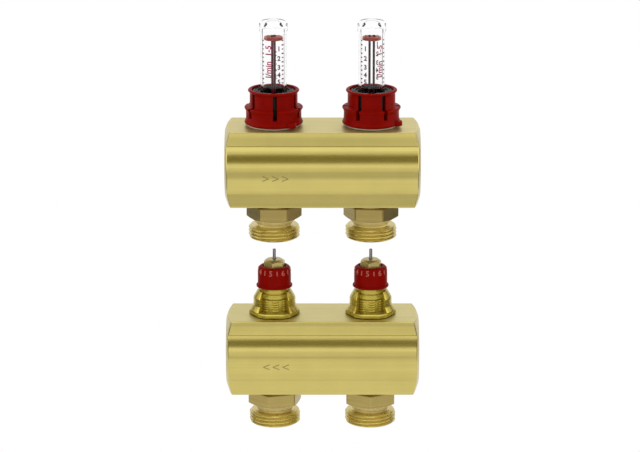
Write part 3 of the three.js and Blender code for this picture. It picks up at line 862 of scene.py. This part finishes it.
def make_glass(node, at):
    """Rows close to each corner keep the smooth shading, and so the refraction, true."""
    g = GLASS
    rows = [(radius, g["bore_top"] - depth) for radius, depth in GLASS_DOME]
    rows += [(g["bore"], g["low"] + 0.3), (g["bore"], g["low"]),
             (g["outer"] - 0.3, g["low"]), (g["outer"], g["low"] + 0.3), (g["outer"], g["low"] + 0.6),
             (g["outer"], g["cap_low"] - 0.7), (g["outer"], g["cap_low"] - 0.4),
             (g["outer"] + 0.2, g["cap_low"]), (g["cap"] - 0.15, g["cap_low"] + 0.2),
             (g["cap"], g["cap_low"] + 0.5), (g["cap"], g["cap_low"] + 0.8)]
    piece = to_object(turned(rows + glass_crown()), node)
    place(piece, node, at, "clear_plastic", angle_deg=40)


def print_numbers(surface):
    return [wrap(lettering(str(i + 1), NUMBERS["size"], PRINT_DEPTH, NUMBERS["weight"]),
                 partial(surface, height))
            for i, height in enumerate(NUMBER_HEIGHTS)]


def print_ticks(surface):
    """Short and long ticks in turn, from the top down."""
    count = int((TICKS["high"] - TICKS["low"]) / TICKS["step"]) + 1
    ticks = []
    for i in range(count):
        tick = lettering("-", TICKS["sizes"][i % 2], PRINT_DEPTH, TICKS["weight"])
        ticks.append(wrap(tick, partial(surface, TICKS["high"] - i * TICKS["step"])))
    return ticks


def print_unit(surface):
    text = lettering(UNIT["text"], UNIT["size"], PRINT_DEPTH, UNIT["weight"])
    upright = moved(text, Matrix.Rotation(TAU / 4, 4, "Z"))
    return [wrap(upright, partial(surface, UNIT["height"]))]


PRINTS = {"numbers": print_numbers, "ticks": print_ticks, "unit": print_unit}


def make_scale(circuit, at, columns):
    """The flow scale printed on the glass, as (kind, degrees from the front) columns."""
    inks = {"scale_numbers": [], "scale_unit": []}
    for kind, angle_deg in columns:
        surface = partial(on_cylinder, PRINT_R, FRONT + math.radians(angle_deg))
        inks["scale_unit" if kind == "unit" else "scale_numbers"] += PRINTS[kind](surface)
    for name, meshes in inks.items():
        place_print(join_meshes(meshes), f"{name}_{circuit}", name, at, f"sight_glass_{circuit}")


LOCK_SLOTS = {"count": 6, "size": (5, 2.1, 12.6), "centre": (13, 0, 11.4)}
LOCK_OUTSIDE = [(11.5, 1.2), (14.1, 1.2), (14.9, 1.6), (15.0, 2.2), (14.6, 3.0), (14.2, 4.0),
                (14.15, 7.6), (14.4, 8.6), (15.0, 9.4), (14.9, 9.9), (14.4, 10.1), (12.8, 10.15),
                (12.25, 10.5), (12.2, 17.0), (12.45, 17.8), (13.1, 18.2), (13.1, 18.7), (12.7, 19.1)]
LOCK_INSIDE = [(11.5, 19.1), (11.2, 18.8), (11.2, 1.5)]
LOCK_COLUMNS = 144
TAB = [(0, 1.25), (2.6, 1.25), (2.8, 1.45), (2.8, 3.4), (2.5, 3.8), (0, 3.85)]
TAB_AT = 14.2                     # from the ring's axis to the tab's
TAB_HOLLOW = (0, 12.5, 0, 9)      # keeps the tab out of the ring's opening


def make_tab(turn):
    """The round tab that stands out at the foot of a locking ring."""
    away = Vector((math.cos(turn), math.sin(turn), 0)) * TAB_AT * MM
    tab = turned(soft(TAB), even_columns(SMALL_COLUMNS))
    piece = to_object(moved(tab, Matrix.Translation(away)), "tab")
    combine(piece, [turned(section(*TAB_HOLLOW))], "DIFFERENCE")
    return to_mesh(piece)


def make_locking_ring(node, at, slot_deg, tab_deg):
    outline = soft(LOCK_OUTSIDE + LOCK_INSIDE, 0.2, 2, closed=True)
    piece = to_object(turned(outline, even_columns(LOCK_COLUMNS)), node)
    combine(piece, boxes_around(LOCK_SLOTS, FRONT + math.radians(slot_deg)), "DIFFERENCE")
    combine(piece, [make_tab(math.radians(tab_deg))], "UNION")
    place(piece, node, at, "red_plastic", angle_deg=30)


def make_stem(node, at, fork_deg, material):
    """A stem that forks into two thin rods, which carry the disc."""
    m = STEM
    rows = soft([(0, m["low"]), (m["r"], m["low"]), (m["r"], m["shoulder"]),
                 (m["shoulder_r"], m["shoulder"]), (m["shoulder_r"], m["top"]), (0, m["top"])], 0.2)
    piece = to_object(turned(rows, even_columns(SMALL_COLUMNS)), node)
    rods = []
    for side in (-1, 1):
        rod = turned(soft(section(*ROD["section"]), 0.15), even_columns(24))
        rods.append(moved(rod, Matrix.Rotation(math.radians(fork_deg), 4, "Z")
                          @ Matrix.Translation((side * ROD["apart"] * MM, 0, 0))))
    combine(piece, rods, "UNION")
    place(piece, node, at, material)


def make_disc(node, at, fork_deg):
    low, high = INDICATOR["disc_low"], INDICATOR["disc_high"]
    rows = soft(section(0, INDICATOR["disc_r"], low, high), 0.45, 4)
    piece = to_object(turned(rows), node)
    slot = box_mesh(INDICATOR["slot"], (0, 0, (low + high) / 2), math.radians(fork_deg))
    combine(piece, [slot], "DIFFERENCE")
    place(piece, node, at, "coral_plastic")


LAID = 0.02                       # rise of each end turn, which lies almost flat


def coil_path(radius, wire, low, high, turns):
    """A compression spring whose end turns lie flat."""
    steps = 24
    points = []
    for i in range(turns * steps + 1):
        t = i / steps
        rise = min(max((t - 0.7) / (turns - 1.4), 0.0), 1.0)
        height = low + wire + t * LAID + (high - low - 2 * wire - turns * LAID) * rise
        points.append((radius * math.cos(t * TAU), radius * math.sin(t * TAU), height))
    return points


def make_spring(node, at, joint, radius, wire, low, high, turns, travel):
    piece = to_object(sweep(coil_path(radius, wire, low, high, turns), wire), node)
    place(piece, node, at, "spring_steel", angle_deg=60)
    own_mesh(piece)


def make_ring(node, at, points, rounding=0.2):
    """A plain turned part, in the material of its CAD slot."""
    is_ring = points[0][0] > 0
    rows = soft(points, rounding, closed=is_ring)
    piece = to_object(turned(rows, even_columns(SMALL_COLUMNS)), node)
    place(piece, node, at, SLOTS[node])


# How each circuit's parts are turned, in degrees from the front, as in the photo.
FLOW_TURNS = {
    1: {"slot": 3.5, "tab": -52, "fork": 57, "stem": "maroon_plastic",
        "print": (("unit", -21), ("numbers", 25), ("ticks", 44), ("ticks", -50), ("numbers", 172))},
    2: {"slot": 30, "tab": -25, "fork": 6, "stem": "stem_plastic",
        "print": (("numbers", -29), ("ticks", -50), ("unit", 38), ("ticks", 62), ("numbers", 150))},
}


def make_flow_meter(circuit, at):
    turns = FLOW_TURNS[circuit]
    make_flow_insert(f"flow_insert_body_{circuit}", at)
    make_seal(f"flow_insert_seal_{circuit}", at, 1)
    make_ring(f"regulating_sleeve_{circuit}", at, section(*SLEEVE))
    make_collar(f"adjusting_collar_{circuit}", at)
    make_glass(f"sight_glass_{circuit}", at)
    make_ring(f"glass_seal_{circuit}", at, section(*GLASS_SEAL), 0.4)
    make_scale(circuit, at, turns["print"])
    make_locking_ring(f"locking_ring_{circuit}", at, turns["slot"], turns["tab"])
    make_stem(f"indicator_stem_{circuit}", at, turns["fork"], turns["stem"])
    make_disc(f"indicator_disc_{circuit}", at, turns["fork"])
    make_ring(f"baffle_plate_{circuit}", at, section(*BAFFLE))
    make_spring(f"indicator_spring_{circuit}", at, f"flow_indication_{circuit}", **METER_SPRING)


# ---- Valve insert ----

RING = {"low": 14.7, "flange": 9.35, "flange_top": 15.7, "body": 8.6, "scale_low": 21.4,
        "scale": 8.1, "scale_top": 25.0, "rim": 7.2, "top": 25.7, "opening": 6.1}
RING_MARKS = ("1", "2", "3", "4", "5", "6", "7", "N")
RING_STEP_DEG = 45
FRONT_MARK = 4
FRONT_MARK_DEG = -12
MARK_DEPTH = 0.5
MARK_SIZES = {"number": (3.9, 0.08), "bar": (3.2, 0.12)}    # size and weight
CORE = {"shank": 10, "shank_low": -7, "bore": 5.9, "mouth": 6.2, "shank_top": 1.2, "root": 7.6}
CORE_THREAD = {"low": 2.6, "high": 8.5, "pitch": 1.25, "minor": 7.45, "major": 8.0}
# Above the thread: a groove, a smooth ring, a second groove and the neck under the preset ring.
CORE_TOP = [(7.6, 8.7), (6.9, 8.7), (6.9, 9.3), (7.8, 9.3), (7.8, 11.5), (6.9, 11.5), (6.9, 12.2),
            (7.3, 12.2), (7.3, 14.4), (5.9, 14.4)]
LANDS = 8                         # smooth stretches round the thread
LAND_TURN = math.radians(27.5)    # from the front to the middle of one of them
WINGS = [(6.6, 1.3), (12.8, 1.3), (12.8, 2.4), (10.9, 5.2), (10.9, 8.9), (8.6, 12.9), (6.6, 12.9)]
NOTCH = {"root": 3.6, "mouth": 11.2, "length": 16, "size": (2, 16, 30), "centre": (0, -8, 10)}
VALVE_COLUMNS = 128
FLANGE = {"flats": 24.6, "limit": 13.15, "turn_deg": 30, "low": 0.3, "top": 2.4, "bore": 6.2,
          "edge": 0.5, "foot": 0.2}
GLAND = {"flats": 10, "limit": 5.7, "turn_deg": -10, "hole": 1.1, "shank": 3.4, "low": 19,
         "seat": 24.9, "corner": 27.9, "slope": 0.76, "top": 29.2, "top_r": 4.1}
THROTTLE = [(3.7, 24.4), (3.7, -2), (1.75, -2), (1.75, -4), (3.7, -4), (3.7, -8.9), (6.9, -10.9),
            (6.9, -34.2), (7.6, -34.2), (7.8, -34), (7.8, -10), (5.6, -8), (5.6, 24.4), (5.4, 24.6),
            (3.9, 24.6)]
THROTTLE_SLOTS = {"count": 2, "size": (4, 5, 12), "centre": (7.3, 0, -23)}
GLAND_SEAL = (1.1, 3.4, 16.5, 18.7)
PIN = (0, 0.8, 11.8, 34.6)
SPINDLE = [(0, -32.4), (1.4, -32.4), (1.4, 8.6), (3.3, 8.6), (3.3, 10.2), (2.2, 10.2), (2.2, 11.5),
           (0, 11.5)]
CONE = [(1.7, -31.8), (6.4, -31.8), (6.4, -29.4), (3, -28), (1.7, -28)]
VALVE_SPRING = {"radius": 2.6, "wire": 0.3, "low": -1.7, "high": 8.3, "turns": 6, "travel": 2.5}


def lands(angle):
    """1 where the valve core's thread is whole, 0 on its smooth lands."""
    wave = math.cos(LANDS * (angle - FRONT - LAND_TURN))
    return min(max(0.5 - 1.8 * wave, 0.0), 1.0)


def valve_core_rows():
    c = CORE
    rows = [(c["bore"], c["shank_low"] + 0.3), (c["mouth"], c["shank_low"]),
            (c["shank"] - 0.4, c["shank_low"]), (c["shank"], c["shank_low"] + 0.4),
            (c["shank"], c["shank_top"]), (c["root"], c["shank_top"])]
    return rows + thread(**CORE_THREAD, lands=lands) + soft(CORE_TOP, 0.18)


def notch_wedge(turn):
    """A wedge that opens outwards, from the axis to beyond the wings."""
    mesh = box_mesh(NOTCH["size"], NOTCH["centre"])
    for vert in mesh.verts:
        reach = -vert.co.y / MM / NOTCH["length"]
        vert.co.x *= NOTCH["root"] + (NOTCH["mouth"] - NOTCH["root"]) * reach
    return moved(mesh, Matrix.Rotation(turn, 4, "Z"))


def valve_wings():
    """The wide part of the insert, which is cut away in front and behind."""
    outline = soft(WINGS, 0.5, closed=True)
    wings = to_object(turned(outline, even_columns(VALVE_COLUMNS)), "wings")
    combine(wings, [notch_wedge(turn) for turn in (0, TAU / 2)], "DIFFERENCE")
    round_edges(wings, 0.25, 40)
    return to_mesh(wings)


def valve_flange():
    f = FLANGE
    columns = hex_columns(f["flats"], f["limit"], f["turn_deg"], 120)
    rows = [(f["bore"], f["low"]), partial(inset_row, f["foot"], f["low"]),
            partial(inset_row, 0.0, f["low"] + f["foot"]),
            partial(inset_row, 0.0, f["top"] - f["edge"]),
            partial(inset_row, f["edge"], f["top"]), (f["bore"], f["top"])]
    return turned(rows, columns)


def make_valve_body(node, at):
    piece = to_object(turned(valve_core_rows(), even_columns(VALVE_COLUMNS)), node)
    combine(piece, [valve_flange(), valve_wings()], "UNION")
    place(piece, node, at, "insert_brass", angle_deg=30)


def on_slope(angle, across, up, out):
    """On the preset ring's sloping scale: up is measured along the slope."""
    low = Vector((RING["body"], RING["scale_low"]))
    high = Vector((RING["scale"], RING["scale_top"]))
    along = (high - low).normalized()
    outward = Vector((along.y, -along.x))
    point = (low + high) / 2 + along * up + outward * out
    turn = angle + across / point.x
    return point.x * math.cos(turn), point.x * math.sin(turn), point.y


def ring_mark(text, kind, angle):
    size, weight = MARK_SIZES[kind]
    return wrap(lettering(text, size, MARK_DEPTH, weight), partial(on_slope, angle))


def make_preset_ring(circuit, at):
    node = f"preset_ring_{circuit}"
    r = RING
    rows = soft([(r["opening"], r["low"]), (r["flange"], r["low"]), (r["flange"], r["flange_top"]),
                 (r["body"], r["flange_top"]), (r["body"], r["scale_low"]),
                 (r["scale"], r["scale_top"]), (r["rim"], r["top"]),
                 (r["opening"], r["top"])], 0.3, closed=True)
    place(to_object(turned(rows), node), node, at, "red_plastic")
    marks = []
    for i, mark in enumerate(RING_MARKS):
        angle = FRONT + math.radians((i - FRONT_MARK) * RING_STEP_DEG + FRONT_MARK_DEG)
        marks.append(ring_mark(mark, "number", angle))
        marks.append(ring_mark("I", "bar", angle + math.radians(RING_STEP_DEG / 2)))
    numbers = place_print(join_meshes(marks), f"ring_numbers_{circuit}", "ring_numbers", at, node)


def make_gland_nut(node, at):
    g = GLAND

    def bevel(_angle, outline):
        return outline, g["corner"] + (g["limit"] - outline) * g["slope"]

    rows = [(g["hole"], g["low"]), (g["shank"], g["low"]), (g["shank"], g["seat"]),
            partial(inset_row, 0.2, g["seat"]), partial(inset_row, 0.0, g["seat"] + 0.2), bevel,
            (g["top_r"], g["top"] - 0.1), (g["top_r"] - 0.2, g["top"]), (g["hole"] + 0.2, g["top"]),
            (g["hole"], g["top"] - 0.2)]
    columns = hex_columns(g["flats"], g["limit"], g["turn_deg"])
    place(to_object(turned(rows, columns), node), node, at, "nut_brass", angle_deg=25)


def make_throttle(node, at):
    piece = to_object(turned(THROTTLE), node)
    combine(piece, boxes_around(THROTTLE_SLOTS), "DIFFERENCE")
    place(piece, node, at, "pale_plastic")


def make_valve_insert(circuit, at):
    make_valve_body(f"valve_body_{circuit}", at)
    make_seal(f"valve_body_seal_{circuit}", at, 1)
    make_preset_ring(circuit, at)
    make_throttle(f"throttle_sleeve_{circuit}", at)
    make_gland_nut(f"gland_nut_{circuit}", at)
    make_ring(f"gland_seal_{circuit}", at, section(*GLAND_SEAL), 0.4)
    make_ring(f"spindle_pin_{circuit}", at, section(*PIN), 0.25)
    make_ring(f"valve_spindle_{circuit}", at, SPINDLE)
    make_ring(f"cone_disc_{circuit}", at, CONE, 0.4)
    make_spring(f"valve_spring_{circuit}", at, f"spindle_stroke_{circuit}", **VALVE_SPRING)


# ---- Stage ----

CAMERA = {"x": -1.31, "distance": 1599.0, "pitch_deg": 15.51, "aim_height": -33.9, "lens": 174.0}
WARM = (1.0, 0.9, 0.4)
TENT_WIDTH = 3.0                  # sizes and places of the tent are in metres
FLOOR_GAP = 0.002                 # below the object, and between the floor and its cards
FLAG_RISE = 0.055                 # of the middle of the low flags above the floor


def make_camera():
    data = bpy.data.cameras.new("camera")
    data.lens = CAMERA["lens"]
    data.sensor_width = 36.0
    data.clip_end = 100
    camera = bpy.data.objects.new("camera", data)
    pitch = math.radians(CAMERA["pitch_deg"])
    away = CAMERA["distance"]
    camera.location = Vector((CAMERA["x"], -away * math.cos(pitch),
                              CAMERA["aim_height"] + away * math.sin(pitch))) * MM
    camera.rotation_euler = (TAU / 4 - pitch, 0, 0)
    bpy.context.scene.collection.objects.link(camera)
    bpy.context.scene.camera = camera


def glow(name, level, tint=(1, 1, 1)):
    """A surface that shines evenly, for the floor and the light tent."""
    material = bpy.data.materials.new(name)
    material.use_nodes = True
    tree = material.node_tree
    tree.nodes.clear()
    out = tree.nodes.new("ShaderNodeOutputMaterial")
    emission = tree.nodes.new("ShaderNodeEmission")
    emission.inputs["Color"].default_value = (*tint, 1)
    emission.inputs["Strength"].default_value = level
    tree.links.new(emission.outputs[0], out.inputs["Surface"])
    return material


def panel(name, size, at, level, aim=(0, 0, 0), tint=(1, 1, 1)):
    """A flat card of the light tent, in metres. The camera doesn't see it."""
    mesh = bmesh.new()
    bmesh.ops.create_grid(mesh, x_segments=1, y_segments=1, size=0.5)
    card = to_object(mesh, name)
    card.scale = (*size, 1)
    card.location = at
    card.rotation_euler = (Vector(aim) - Vector(at)).to_track_quat("Z", "Y").to_euler()
    card.data.materials.append(glow(name, level, tint))
    card.visible_camera = False


def make_floor():
    """The white floor just below the object. Returns its height."""
    mesh = bmesh.new()
    bmesh.ops.create_grid(mesh, x_segments=1, y_segments=1, size=6.0)
    floor = to_object(mesh, "floor")
    floor.location = (0, 0, cad_box[BOTTOM].z - FLOOR_GAP)
    floor.data.materials.append(glow("floor_white", 1.0))
    return floor.location.z


def make_world():
    """An even white world, shown without a tone curve."""
    world = bpy.data.worlds.new("studio")
    world.use_nodes = True
    background = world.node_tree.nodes["Background"]
    background.inputs["Color"].default_value = (1, 1, 1, 1)
    background.inputs["Strength"].default_value = 1.0
    bpy.context.scene.world = world
    bpy.context.scene.view_settings.view_transform = "Standard"


def floor_card(name, size, at, level):
    """A card that lies face up."""
    panel(name, size, at, level, aim=(at[0], at[1], 1))


def make_stage():
    """A white tent with a dark card in front, which the barrels reflect as a band."""
    floor = make_floor()
    make_world()
    low = floor + FLOOR_GAP
    panel("front_card", size=(TENT_WIDTH, 0.215), at=(0, -0.47, 0.206), level=0.29, tint=WARM)
    panel("low_strip", size=(TENT_WIDTH, 0.07), at=(0, -0.47, 0.03), level=1.3)
    panel("high_strip", size=(TENT_WIDTH, 0.14), at=(0, -0.35, 0.44), level=1.35)
    floor_card("front_floor", size=(TENT_WIDTH, 0.42), at=(0, -0.45, low), level=0.72)
    floor_card("near_floor", size=(TENT_WIDTH, 0.16), at=(0, -0.12, low), level=1.05)
    for side in (-1, 1):
        flag_at = (0.19 * side, -0.02, floor + FLAG_RISE)
        panel(f"side_light_{side + 2}", size=(0.5, 0.7), at=(0.9 * side, -0.1, 0.15), level=2.2)
        panel(f"flag_{side + 2}", size=(0.16, 0.7), at=(0.42 * side, 0.34, 0.1), level=0.2)
        panel(f"low_flag_{side + 2}", size=(0.3, 0.1), at=flag_at, level=0.12,
              aim=(0, *flag_at[1:]))
    panel("top_light", size=(1.6, 0.5), at=(0, -0.2, 0.9), level=1.7)


# ---- The whole manifold ----

# Degrees by which each outlet's hexagon is turned in the photo.
HEX_TURNS = {("supply", 1): 29, ("supply", 2): 24.5, ("return", 1): -13, ("return", 2): 0}

make_camera()
make_stage()
for side in SIDES:
    make_bar(side)
for circuit in CIRCUITS:
    for side in SIDES:
        below = bar_point(side, circuit, BOTTOM)
        make_outlet(side, circuit, below, HEX_TURNS[side, circuit])
        make_seal(f"{side}_outlet_seal_{circuit}", below, -1)
    make_flow_meter(circuit, bar_point("supply", circuit, TOP))
    make_valve_insert(circuit, bar_point("return", circuit, TOP))
